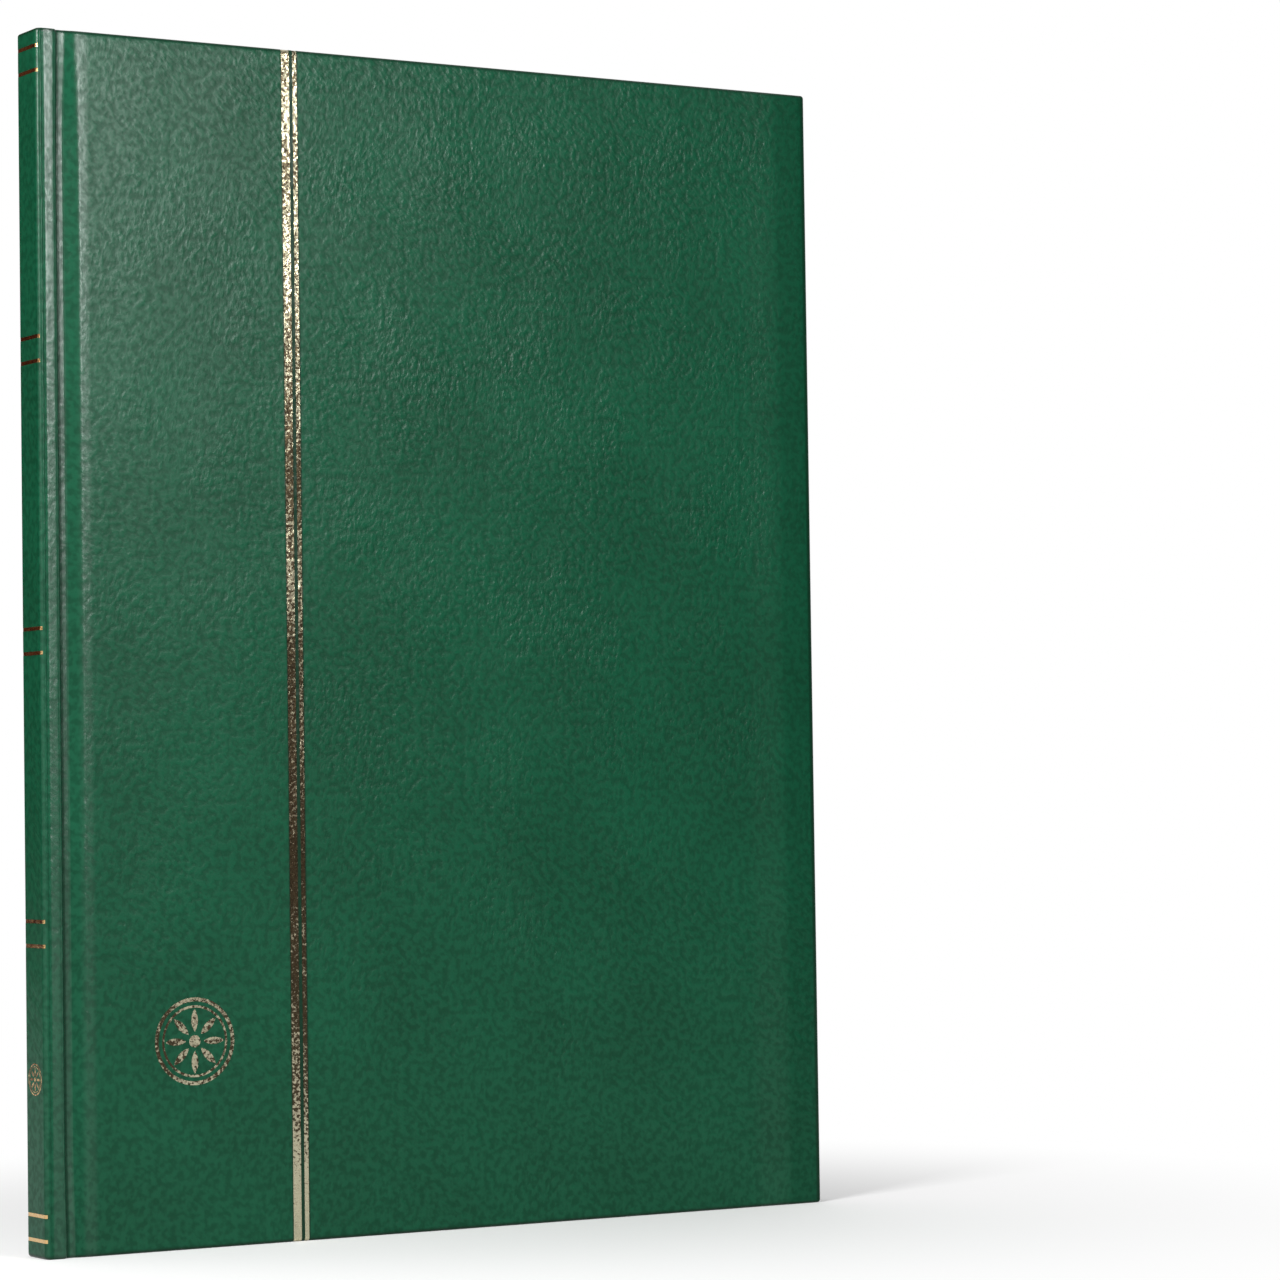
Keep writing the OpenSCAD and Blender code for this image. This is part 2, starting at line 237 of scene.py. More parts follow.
class Skin:
    """The leatherette of the front half of the case, as columns across and rows up."""

    def __init__(self):
        points = case_outline()
        self.flat_from = len(points)
        points += [np.array([x, 0]) for x in cover_columns(points[-1][0])]
        self.outline = np.array(points)
        gaps = np.linalg.norm(np.diff(self.outline, axis=0), axis=1)
        self.across = np.concatenate([[0], np.cumsum(gaps)])
        along = np.gradient(self.outline, self.across, axis=0)
        along /= np.linalg.norm(along, axis=1)[:, None]
        self.inward = np.stack([-along[:, 1], along[:, 0]], axis=1)
        self.rows = row_heights()
        self.ridge_from = int(np.argmax(self.outline[:, 0] >= SPINE_R))

    def sunk(self, i, z):
        """Depth of the blocking at a column and height."""
        x = self.outline[i, 0]
        on_line = any(a - 1e-6 <= x <= b + 1e-6 for a, b in line_edges())
        on_fillet = x <= FILLET_REACH and any(
            f - 1e-6 <= z <= f + FILLET_W + 1e-6 for f in fillet_heights())
        return FOIL_SINK if on_line or on_fillet else 0.0

    def place(self, i, z, depth):
        """A point of the covering at a column and height, set in by a depth."""
        x, y = self.outline[i]
        if i > self.ridge_from:
            y *= groove_left(z)
        if i >= self.flat_from:
            y -= relief(x, z)
        x, y = np.array([x, y]) + depth * self.inward[i]
        return np.array([x, y, z])

    def behind(self, i, z):
        """The face of the leatherette turned in behind a column."""
        x, y = self.outline[i]
        ridge_x = RIDGE_W - RIDGE_R
        doubled = 2 * SKIN_T
        if x < SPINE_R and y >= SPINE_R:
            return np.array([SPINE_IN, y, z])
        if x < SPINE_R:
            return np.array([SPINE_IN, doubled + (SPINE_R - doubled) * y / SPINE_R, z])
        if x <= ridge_x:
            share = (x - SPINE_R) / (ridge_x - SPINE_R)
            return np.array([SPINE_IN + (ridge_x - SPINE_IN) * share, doubled, z])
        if x < RIDGE_W + GROOVE_R:
            x, y = self.outline[i] + doubled * self.inward[i]
            return np.array([x, y, z])
        drop = smooth_step((x - RIDGE_W - GROOVE_R) / (FOLD_BEFORE + 0.15 * MM))
        return np.array([x, GROOVE_D + doubled + (COVER_IN - GROOVE_D - doubled) * drop, z])

    def turn_in(self, i):
        """How far the leatherette reaches inwards from head and tail behind a column."""
        x, y = self.outline[i]
        if x < SPINE_R and y >= SPINE_R:
            return TURN_IN_W
        if x < FOLD_X:
            return LEAF_Z0 - STUB_GAP
        return min(TURN_IN_W, ALBUM_W - x)

    def edge_stations(self):
        """Round the tail, fore-edge and head: start, face behind, way out, sink, reach, place
        on the flat covering."""
        last = len(self.outline) - 1
        low, high = self.rows[0], self.rows[-1]
        down, up, fore = np.array([0, 0, -1.0]), np.array([0, 0, 1.0]), np.array([1.0, 0, 0])

        def at_column(i, z, out):
            return (self.place(i, z, 0), self.behind(i, z), out, self.sunk(i, z),
                    self.turn_in(i), (self.across[i], z))

        def at_row(z, out):
            return (self.place(last, z, 0), self.behind(last, z), out, 0.0,
                    min(TURN_IN_W, z, ALBUM_H - z), (self.across[last], z))

        stations = [at_column(i, low, down) for i in range(last + 1)]
        for turn in np.radians(np.linspace(0, 90, 7)[1:-1]):
            stations.append(at_row(low, math.cos(turn) * down + math.sin(turn) * fore))
        stations += [at_row(z, fore) for z in self.rows]
        for turn in np.radians(np.linspace(0, 90, 7)[1:-1]):
            stations.append(at_row(high, math.cos(turn) * fore + math.sin(turn) * up))
        stations += [at_column(i, high, up) for i in range(last, -1, -1)]
        return stations


ARC_STEPS = 5
FLAP_STEPS = 4
QUARTER = np.radians(np.linspace(0, 90, ARC_STEPS + 1))


def over_edge(start, behind, out, sunk, reach):
    """Points from a sheet's border over the edge of a board and in behind it."""
    inwards = behind - start
    thick = np.linalg.norm(inwards)
    inwards = inwards / thick
    r = min(EDGE_R, 0.45 * thick)
    rise = out * (EDGE_R - r)
    near, far = start + inwards * r + rise, start + inwards * (thick - r) + rise
    middle, step = thick / 2 - r, WALL_W / 2
    points = [start + inwards * sunk]
    points += [near + (r - sunk) * (out * math.sin(a) - inwards * math.cos(a)) for a in QUARTER]
    points.append(near + inwards * (middle - step) + out * (r - sunk))
    points.append(near + inwards * (middle + step) + out * r)
    points += [far + r * (out * math.cos(a) + inwards * math.sin(a)) for a in QUARTER]
    run = max(reach - r, 0)
    points += [far + inwards * r - out * run * k / FLAP_STEPS for k in range(1, FLAP_STEPS + 1)]
    return np.array(points)


# ---- Meshes ----


def grid_faces(columns, rows, first=0):
    """Quads of a grid whose points are listed row by row within each column."""
    return [
        (first + i * rows + j, first + (i + 1) * rows + j,
         first + (i + 1) * rows + j + 1, first + i * rows + j + 1)
        for i in range(columns - 1) for j in range(rows - 1)
    ]


def in_frame(points, back=False):
    """Points in the album's own coordinates, taken to the frame."""
    x, y, z = np.array(points, float).T
    y = BACK_Y - y if back else FRONT_Y + y
    return np.stack([x + SPINE_X, y, z], axis=1)


def piece(name, points, faces, flat, material, back=False):
    """A smooth mesh piece. flat gives each point's place on the flat material."""
    if back:
        faces = [face[::-1] for face in faces]
    mesh = bpy.data.meshes.new(name)
    mesh.from_pydata(in_frame(points, back), [], faces)
    side = -1 if back else 1
    layer = mesh.uv_layers.new(name="flat")
    for loop in mesh.loops:
        u, v = flat[loop.vertex_index]
        layer.data[loop.index].uv = (side * u, v)
    work = bmesh.new()
    work.from_mesh(mesh)
    bmesh.ops.remove_doubles(work, verts=work.verts, dist=0.001 * MM)
    bmesh.ops.dissolve_degenerate(work, edges=work.edges, dist=0.001 * MM)
    sharp = math.radians(40)
    for edge in work.edges:
        edge.smooth = edge.is_manifold and edge.calc_face_angle(0) < sharp
    for face in work.faces:
        face.smooth = True
    work.to_mesh(mesh)
    work.free()
    mesh.materials.append(material)
    made = bpy.data.objects.new(name, mesh)
    bpy.context.scene.collection.objects.link(made)
    return made


def thicken(obj, thickness):
    """Gives a sheet its thickness, behind the face that shows."""
    solid = obj.modifiers.new("thickness", "SOLIDIFY")
    solid.thickness = thickness
    solid.offset = -1
    return obj


def bend_at_fold(obj):
    """Bakes the piece's placement into its mesh."""
    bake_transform(obj)


def make_leatherette(skin, side, material):
    """Half of the covering: its outer sheet, and the strip turned in round the board."""
    columns, rows = len(skin.outline), len(skin.rows)
    points, flat = [], []
    for i in range(columns):
        for z in skin.rows:
            points.append(skin.place(i, z, skin.sunk(i, z)))
            flat.append((skin.across[i], z))
    faces = grid_faces(columns, rows)
    first = len(points)
    stations = skin.edge_stations()
    for start, behind, out, sunk, reach, (u, v) in stations:
        path = over_edge(start, behind, out, sunk, reach)
        run = np.concatenate([[0], np.cumsum(np.linalg.norm(np.diff(path, axis=0), axis=1))])
        points += list(path)
        flat += [(u + out[0] * s, v + out[2] * s) for s in run]
    along = len(path)
    faces += [face[::-1] for face in grid_faces(len(stations), along, first)]
    made = piece(side + "_covering", points, faces, flat, material, side == "back")
    thicken(made, SKIN_T)
    bend_at_fold(made)
    return made


def make_endpaper(side, material):
    """Black paper pasted on the inside of a cover and over the fold."""
    low_x, high_x = FOLD_X - 0.25 * MM, ALBUM_W - PAPER_MARGIN
    columns = merged(np.linspace(low_x, FOLD_X + 1.5 * MM, 14), np.linspace(low_x, high_x, 40),
                     [high_x], least=0.1 * MM)
    rows = np.linspace(PAPER_MARGIN, ALBUM_H - PAPER_MARGIN, 30)
    y = COVER_IN + PAPER_T
    points = [(x, y, z) for x in columns for z in rows]
    faces = [face[::-1] for face in grid_faces(len(columns), len(rows))]
    made = piece(side + "_endpaper", points, faces, [(x, z) for x, _, z in points], material,
                 side == "back")
    thicken(made, PAPER_T)
    bend_at_fold(made)
    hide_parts(side + "_pastedown")


# ---- Gold blocking ----


def make_gold_lines(skin, material):
    """Foil of the broad and fine lines, up the cover and over both its edges."""
    points, faces, flat = [], [], []
    depth = FOIL_SINK - FOIL_T
    r = EDGE_R - depth
    middle = COVER_IN / 2 - WALL_W
    for low_x, high_x in line_edges():
        columns = np.linspace(low_x, high_x, 4)
        first = len(points)
        for x in columns:
            path = [(middle, depth)]
            path += [(EDGE_R - r * math.sin(a), EDGE_R - r * math.cos(a)) for a in QUARTER]
            end = [(y, ALBUM_H - z) for y, z in reversed(path)]
            path += [(depth - relief(x, z), z) for z in skin.rows[1:-1]] + end
            points += [(x, y, z) for y, z in path]
            flat += [(x, z) for y, z in path]
        faces += grid_faces(len(columns), len(path), first)
    made = thicken(piece("gold_lines", points, faces, flat, material), FOIL_T)
    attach(made, "front_cover")
    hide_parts("cover_gold_lines")


def make_fillets(skin, material):
    """Foil of the fillets: each one crosses the spine and both its corners."""
    depth = FOIL_SINK - FOIL_T
    half = [i for i in range(skin.ridge_from) if skin.outline[i, 0] <= FILLET_REACH]
    places = []
    for i in half:
        x, y = skin.outline[i] + depth * skin.inward[i]
        places.append((x, y, skin.across[i]))
    places = places[::-1] + [(x, ALBUM_T - y, -u) for x, y, u in places[1:]]
    points, faces, flat = [], [], []
    for low_z in fillet_heights():
        rows = np.linspace(low_z, low_z + FILLET_W, 3)
        first = len(points)
        points += [(x, y, z) for x, y, _ in places for z in rows]
        flat += [(u, z) for _, _, u in places for z in rows]
        faces += [face[::-1] for face in grid_faces(len(places), len(rows), first)]
    made = thicken(piece("spine_fillets", points, faces, flat, material), FOIL_T)
    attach(made, "spine")
    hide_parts("spine_gold_fillets")


FOIL_PROUD = 0.015 * MM  # how far a rosette's foil stands above the covering


def make_rosette(node, body, way, material):
    """A rosette's foil, lifted from its bed in the CAD skin to the covering's surface."""
    mesh = NODES[node].data.copy()
    lift = FOIL_SINK - FOIL_T + FOIL_PROUD
    on_cover = body == "front_cover"
    layer = mesh.uv_layers.new(name="flat")
    for vertex in mesh.vertices:
        if on_cover:
            lift_here = lift + relief(vertex.co.x - SPINE_X, vertex.co.z)
        else:
            lift_here = lift
        vertex.co += way * lift_here
    for loop in mesh.loops:
        x, y, z = mesh.vertices[loop.vertex_index].co
        layer.data[loop.index].uv = (x - SPINE_X if on_cover else y, z)
    mesh.materials.clear()
    mesh.materials.append(material)
    made = bpy.data.objects.new(node + "_foil", mesh)
    bpy.context.scene.collection.objects.link(made)
    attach(made, body)
    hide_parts(node)


# ---- Interleaves ----

CREPE_W = 34 * MM  # the crinkled zone along the spine side of an interleaf
CREPE_RISE = 0.055 * MM
SHEET_RISE = 0.045 * MM


def make_interleaf(k, material):
    """A glassine sheet, finely crinkled along the gutter and nearly flat beyond."""
    low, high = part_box(f"interleaf_{k}")
    low_x, high_x = low.x - SPINE_X, high.x - SPINE_X
    middle = (low.y + high.y) / 2 - FRONT_Y
    columns = merged(np.arange(low_x, low_x + CREPE_W, 0.9 * MM),
                     np.linspace(low_x, high_x, 60), [high_x], least=0.5 * MM)
    rows = np.linspace(low.z, high.z, 90)
    points = []
    for x in columns:
        past = (x - low_x) / CREPE_W
        crepe = float(smooth_step(1.15 - past) * smooth_step(past * 12))
        for z in rows:
            crinkle = noise.noise(Vector((x * 420, k * 3.1, z * 110)))
            swell = noise.noise(Vector((x * 22, k * 7.7, z * 16)))
            rise = CREPE_RISE * crepe * crinkle + SHEET_RISE * swell * float(smooth_step(past))
            points.append((x, middle + rise, z))
    flat = [(x - low_x, z) for x, _, z in points]
    made = piece(f"glassine_{k}", points, grid_faces(len(columns), len(rows)), flat, material)
    thicken(made, 0.05 * MM)
    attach(made, f"interleaf_{k}")
    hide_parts(f"interleaf_{k}")


# ---- Materials ----


class Look:
    """A material, its node tree and short calls that build it."""

    def __init__(self, name):
        self.material = bpy.data.materials.new(name)
        self.material.use_nodes = True
        self.tree = self.material.node_tree
        self.surface = self.tree.nodes["Principled BSDF"]

    def give(self, node, values):
        """Links or sets a node's inputs by name or number."""
        for key, value in values.items():
            if isinstance(value, bpy.types.NodeSocket):
                self.tree.links.new(value, node.inputs[key])
            else:
                node.inputs[key].default_value = value

    def node(self, kind, values, output=0, **settings):
        made = self.tree.nodes.new("ShaderNode" + kind)
        for key, value in settings.items():
            setattr(made, key, value)
        self.give(made, values)
        return made.outputs[output]

    def flat(self):
        """The place on the covering laid flat, in metres."""
        return self.node("UVMap", {}, uv_map="flat")

    def spot(self):
        """The place on the piece itself, in metres."""
        return self.node("TexCoord", {}, output="Object")

    def stretched(self, vector, scale, turn=0.0):
        """A vector turned in its plane, then scaled."""
        turned = self.node("Mapping", {"Vector": vector, "Rotation": (0, 0, turn)})
        return self.node("Mapping", {"Vector": turned, "Scale": scale})

    def noise(self, vector, scale, detail=2.0, rough=0.5):
        return self.node("TexNoise", {"Vector": vector, "Scale": scale, "Detail": detail,
                                      "Roughness": rough})

    def maths(self, operation, a, b=0.0):
        return self.node("Math", {0: a, 1: b}, operation=operation)

    def ranged(self, value, low, high, to_low=0.0, to_high=1.0):
        """A value taken from one range to another, softly at both ends."""
        return self.node("MapRange", {"Value": value, "From Min": low, "From Max": high,
                                      "To Min": to_low, "To Max": to_high},
                         interpolation_type="SMOOTHSTEP")

    def mixed(self, factor, a, b):
        """A colour between a and b."""
        made = self.tree.nodes.new("ShaderNodeMix")
        made.data_type = "RGBA"
        for socket, value in zip((made.inputs[0], made.inputs[6], made.inputs[7]),
                                 (factor, a, b)):
            if isinstance(value, bpy.types.NodeSocket):
                self.tree.links.new(value, socket)
            else:
                socket.default_value = value if isinstance(value, float) else (*value, 1.0)
        return made.outputs[2]

    def bump(self, height, distance, normal=None):
        """A normal from a height, on top of another normal if one is given."""
        values = {"Height": height, "Distance": distance, "Strength": 1.0}
        if normal is not None:
            values["Normal"] = normal
        return self.node("Bump", values)

    def finish(self, **values):
        """Sets the surface's inputs, named with _ for a space, and gives the material."""
        self.give(self.surface, {k.replace("_", " "): v for k, v in values.items()})
        return self.material


LEATHER_DARK = (0.0010, 0.0325, 0.0140)
LEATHER_LIGHT = (0.0023, 0.0660, 0.0300)
# the colour of the painted shade on the covering
LEATHER_PAINTED_SHADE = (0.0012, 0.022, 0.0095)


def leather_grain(look, at):
    """Height of the pressed grain: soft irregular pebbles, broken by short wrinkles."""
    pebbles = look.noise(at, 520.0, 1.5, 0.5)
    turned = look.noise(at, 30.0, 1.0)
    rising = look.noise(look.stretched(at, (1.0, 0.45, 1.0), math.radians(-48)), 980.0, 2.0, 0.55)
    upright = look.noise(look.stretched(at, (1.0, 0.5, 1.0), math.radians(12)), 980.0, 2.0, 0.55)
    way = look.ranged(turned, 0.44, 0.56)
    wrinkles = look.maths("ADD", look.maths("MULTIPLY", rising, way),
                          look.maths("MULTIPLY", upright, look.maths("SUBTRACT", 1.0, way)))
    return look.maths("ADD", pebbles, look.maths("MULTIPLY", wrinkles, 0.6))


def creases(look, at):
    """Soft creases that run up to the right, where the covering was handled."""
    lines = look.noise(look.stretched(at, (260.0, 60.0, 1.0), math.radians(-52)), 1.0, 3.0, 0.55)
    patch = look.noise(at, 14.0, 2.0)
    height = look.node("SeparateXYZ", {"Vector": at}, output="Y")
    lower = look.ranged(height, 240 * MM, 90 * MM, 0.25, 1.0)
    where = look.maths("MULTIPLY", look.ranged(patch, 0.42, 0.62), lower)
    return look.maths("MULTIPLY", lines, where)


def band(look, value, low, high, soft):
    """1 between two values, 0 outside, with soft borders inside the band."""
    return look.maths("MULTIPLY", look.ranged(value, low, low + soft),
                      look.ranged(value, high, high - soft))


def burnished(look, across):
    """Where folding and pressing has polished the covering: the spine's corner, the ridge, the
    groove's floor and its shoulder."""
    ridge = band(look, across, 7.2 * MM, 11.8 * MM, 0.9 * MM)
    floor = band(look, across, 13.0 * MM, 14.9 * MM, 0.4 * MM)
    shoulder = look.maths("MULTIPLY", band(look, across, 16.5 * MM, 21.5 * MM, 1.8 * MM), 0.6)
    corner = look.maths("MULTIPLY", band(look, across, 5.0 * MM, 6.6 * MM, 0.5 * MM), 0.7)
    inner = look.maths("MAXIMUM", ridge, corner)
    return look.maths("MAXIMUM", inner, look.maths("MAXIMUM", floor, shoulder))


def fore_strip(look, across, skin):
    """1 on the strip along the fore-edge where the covering falls away."""
    last = skin.across[-1]
    return look.ranged(across, last - 10.2 * MM, last - 7.8 * MM)


def painted_shade(look, at, skin):
    """Painted shade on the covering: darker at the ridge's foot, beside the gold lines, along the
    fore-edge and over the edges, where shade falls."""
    place = look.node("SeparateXYZ", {"Vector": at}, output="X")
    across = look.maths("ABSOLUTE", place)
    height = look.node("SeparateXYZ", {"Vector": at}, output="Y")
    middle = look.maths("ABSOLUTE", look.maths("SUBTRACT", height, ALBUM_H / 2))
    ends = look.ranged(middle, ALBUM_H / 2 - 1.3 * MM, ALBUM_H / 2 - 0.3 * MM)
    last = skin.across[-1]
    rim = look.ranged(across, last - 1.1 * MM, last - 0.2 * MM)
    fore = look.maths("MAXIMUM", rim, look.maths("MULTIPLY", fore_strip(look, across, skin), 0.2))
    shift = last - skin.outline[-1, 0]
    far_edge = line_edges()[1][1]
    lines = band(look, place, LINE_X0 + shift - 0.5 * MM, far_edge + shift + 0.5 * MM, 0.4 * MM)
    foot = look.maths("MULTIPLY", band(look, across, 11.4 * MM, 13.3 * MM, 0.5 * MM), 0.7)
    inner = look.maths("MAXIMUM", lines, foot)
    return look.maths("MAXIMUM", inner, look.maths("MAXIMUM", ends, fore))


def grain_depth(look, at, across):
    """Share of the grain's depth: less on the spine, near it and at the fore-edge, and uneven."""
    on_cover = look.ranged(across, 4.5 * MM, 6.8 * MM, 0.35, 1.0)
    near_spine = look.ranged(across, 20 * MM, 150 * MM, 0.5, 1.1)
    at_edge = look.ranged(across, 222 * MM, 229 * MM, 1.0, 0.45)
    uneven = look.ranged(look.noise(at, 34.0, 2.0), 0.35, 0.65, 0.7, 1.3)
    depth = look.maths("MULTIPLY", look.maths("MULTIPLY", on_cover, at_edge), uneven)
    return look.maths("MULTIPLY", depth, near_spine)


def gloss(look, across, raised, skin):
    """Specular level: high where the covering is burnished or rubbed, low by the fore-edge."""
    last = skin.across[-1]
    polish = look.maths("MULTIPLY", burnished(look, across), 1.1)
    level = look.maths("ADD", look.ranged(across, 4.5 * MM, 6.8 * MM, 0.45, 0.7), polish)
    level = look.maths("MULTIPLY", level, look.ranged(raised, 0.0, 1.0, 0.84, 1.14))
    rubbed = band(look, across, last - 22 * MM, last - 8 * MM, 5 * MM)
    fallen = look.maths("MULTIPLY", fore_strip(look, across, skin), 0.28)
    share = look.maths("ADD", 1.0, look.maths("MULTIPLY", rubbed, 0.3))
    return look.maths("MULTIPLY", level, look.maths("SUBTRACT", share, fallen))


def leatherette(skin):
    """Dark green imitation leather with a fine pressed grain."""
    look = Look("leatherette")
    at = look.flat()
    across = look.maths("ABSOLUTE", look.node("SeparateXYZ", {"Vector": at}, output="X"))
    grain = leather_grain(look, at)
    raised = look.ranged(grain, 0.57, 1.0)
    cloud = look.ranged(look.noise(at, 26.0, 4.0, 0.55), 0.3, 0.72)
    # tone of the covering: random clouds, plus painted shade that darkens the grain's pits
    shade = look.maths("ADD", look.maths("MULTIPLY", cloud, 0.3),
                       look.ranged(raised, 0.0, 1.0, 0.12, 0.62))
    colour = look.mixed(shade, LEATHER_DARK, LEATHER_LIGHT)
    # painted shade: the covering darkened at the ridge's foot, beside the gold lines and at its
    # edges
    colour = look.mixed(painted_shade(look, at, skin), colour, LEATHER_PAINTED_SHADE)
    rough = look.maths("ADD", 0.33, look.maths("MULTIPLY", raised, -0.05))
    relief_here = look.maths("MULTIPLY", grain, grain_depth(look, at, across))
    normal = look.bump(relief_here, 0.12 * MM)
    normal = look.bump(creases(look, at), 0.28 * MM, normal=normal)
    return look.finish(Base_Color=colour, Roughness=rough, IOR=1.2, Normal=normal,
                       Specular_IOR_Level=gloss(look, across, raised, skin))


# the worn colours also paint the darker reflection where the gold is dulled by height
COVER_GOLD = (0.46, 0.43, 0.3), (0.055, 0.042, 0.024)  # fresh, worn
SPINE_GOLD = (0.66, 0.44, 0.20), (0.22, 0.11, 0.045)
LINE_WEAR_AND_REFLECTION = 0.095  # how much more the lines are dulled between the two heights below: partly wear, partly painted reflection
DULLEST_LOW = 50 * MM
DULLEST_HIGH = 60 * MM


def gold_foil(name, fresh, worn, mid_wear_and_reflection=0.0):
    """Blocked gold, broken by the grain and worn in patches. By height it is brightest at the foot,
    dullest some 50 to 60 mm up and a little brighter again higher up: partly wear, partly painted
    reflection.
    """
    look = Look(name)
    at = look.flat()
    grain = leather_grain(look, at)
    wear = look.noise(at, 1150.0, 2.0, 0.6)
    patch = look.noise(look.stretched(at, (1.0, 0.4, 1.0)), 70.0, 2.0)
    height = look.node("SeparateXYZ", {"Vector": at}, output="Y")
    # dulling by height: partly wear, partly painted reflection, bright at the foot and darker a
    # little above it
    wear_and_reflection = look.maths("MINIMUM", look.ranged(height, 4 * MM, DULLEST_LOW, -0.24, mid_wear_and_reflection),
                      look.ranged(height, DULLEST_HIGH, 290 * MM, mid_wear_and_reflection, -0.02))
    blots = look.maths("ADD", wear, look.maths("MULTIPLY", patch, 0.5))
    rubbed = look.ranged(look.maths("ADD", blots, wear_and_reflection), 0.67, 0.81)
    bare = look.ranged(wear, 0.71, 0.75)
    colour = look.mixed(look.maths("MULTIPLY", bare, 0.9), look.mixed(rubbed, fresh, worn),
                        LEATHER_DARK)
    return look.finish(Base_Color=colour, Metallic=look.maths("SUBTRACT", 1.0, bare),
                       Roughness=look.ranged(wear, 0.3, 0.7, 0.2, 0.28),
                       Normal=look.bump(grain, 0.09 * MM))


def paper(name, light, dark, roughness):
    """Matt paper, card or board with a fibrous surface."""
    look = Look(name)
    at = look.spot()
    fibres = look.noise(look.stretched(at, (1.0, 1.0, 0.35)), 1400.0, 4.0, 0.65)
    clouds = look.noise(at, 60.0, 3.0)
    shade = look.maths("MULTIPLY", look.maths("ADD", fibres, clouds), 0.5)
    colour = look.mixed(look.ranged(shade, 0.3, 0.7), dark, light)
    return look.finish(Base_Color=colour, Roughness=roughness, Specular_IOR_Level=0.25,
                       Normal=look.bump(fibres, 0.02 * MM))


WAVE_PERIOD = 0.314  # metres from crest to crest of Blender's wave texture at a scale of 1


def weave(name, light, dark, pitch):
    """Plain-woven cloth with threads at the given pitch."""
    look = Look(name)
    at = look.spot()
    waves = [look.node("TexWave", {"Vector": at, "Scale": WAVE_PERIOD / pitch, "Distortion": 1.2,
                                   "Detail": 1.0}, output="Fac", bands_direction=axis)
             for axis in ("X", "Z")]
    height = look.maths("MULTIPLY", *waves)
    return look.finish(Base_Color=look.mixed(height, dark, light), Roughness=0.85,
                       Specular_IOR_Level=0.2, Normal=look.bump(height, 0.06 * MM))


def clear_film():
    """Thin clear film: a faint haze and a gloss over the card, with shallow long waves."""
    look = Look("clear_film")
    at = look.spot()
    waves = look.noise(look.stretched(at, (1.0, 1.0, 2.0)), 9.0, 1.0)
    haze = look.noise(at, 60.0, 3.0)
    return look.finish(Base_Color=look.mixed(haze, (0.09, 0.095, 0.105), (0.13, 0.135, 0.145)),
                       Roughness=look.ranged(haze, 0.3, 0.7, 0.1, 0.16), Alpha=0.17,
                       Specular_IOR_Level=1.0, Normal=look.bump(waves, 0.12 * MM))


def glassine():
    """Thin translucent paper, whiter where it is crinkled along the gutter."""
    look = Look("glassine")
    at = look.flat()
    across = look.node("SeparateXYZ", {"Vector": at}, output="X")
    crepe = look.ranged(across, CREPE_W * 1.1, CREPE_W * 0.5)
    fibres = look.noise(look.stretched(at, (1.0, 0.12, 1.0)), 420.0, 4.0, 0.6)
    clouds = look.noise(at, 70.0, 3.0)
    body = look.maths("ADD", look.ranged(clouds, 0.3, 0.7, 0.05, 0.058),
                      look.maths("MULTIPLY", look.maths("MULTIPLY", crepe, fibres), 0.2))
    return look.finish(Base_Color=look.mixed(fibres, (0.64, 0.69, 0.73), (0.8, 0.83, 0.86)),
                       Roughness=0.5, Alpha=body, Normal=look.bump(fibres, 0.02 * MM))


# ---- Stage ----

FLOOR_HALF = 30.0  # half the floor's width


def make_floor():
    """A pale floor that keeps the album's shadow and turns plain white further off."""
    look = Look("floor")
    spot = look.spot()
    distance = look.node("VectorMath", {0: spot}, output="Value", operation="LENGTH")
    far = look.ranged(distance, 40 * MM, 300 * MM)
    rays = look.tree.nodes.new("ShaderNodeLightPath").outputs
    seen = look.maths("MAXIMUM", rays["Is Camera Ray"], rays["Is Glossy Ray"])
    seen = look.maths("MAXIMUM", seen, rays["Is Transmission Ray"])
    grit = look.noise(spot, 900.0, 3.0)
    look.give(look.surface, {"Base Color": look.mixed(grit, (0.92, 0.92, 0.92), (0.95, 0.95, 0.95)),
                             "Roughness": 0.9, "Specular IOR Level": 0.1})
    white = look.node("Emission", {"Color": (1, 1, 1, 1), "Strength": 1.0})
    both = look.node("MixShader", {0: look.maths("MULTIPLY", far, seen),
                                   1: look.surface.outputs[0], 2: white})
    look.tree.links.new(both, look.tree.nodes["Material Output"].inputs["Surface"])
    corners = [(-1, -1), (1, -1), (1, 1), (-1, 1)]
    mesh = bpy.data.meshes.new("floor")
    mesh.from_pydata([(FLOOR_HALF * x, FLOOR_HALF * y, 0) for x, y in corners], [],
                     [(0, 1, 2, 3)])
    mesh.materials.append(look.material)
    floor = bpy.data.objects.new("floor", mesh)
    bpy.context.scene.collection.objects.link(floor)


AMBIENT = 0.24  # the world's strength as a lamp, in front of the album and at its sides
BEHIND = 1.0  # and straight behind it


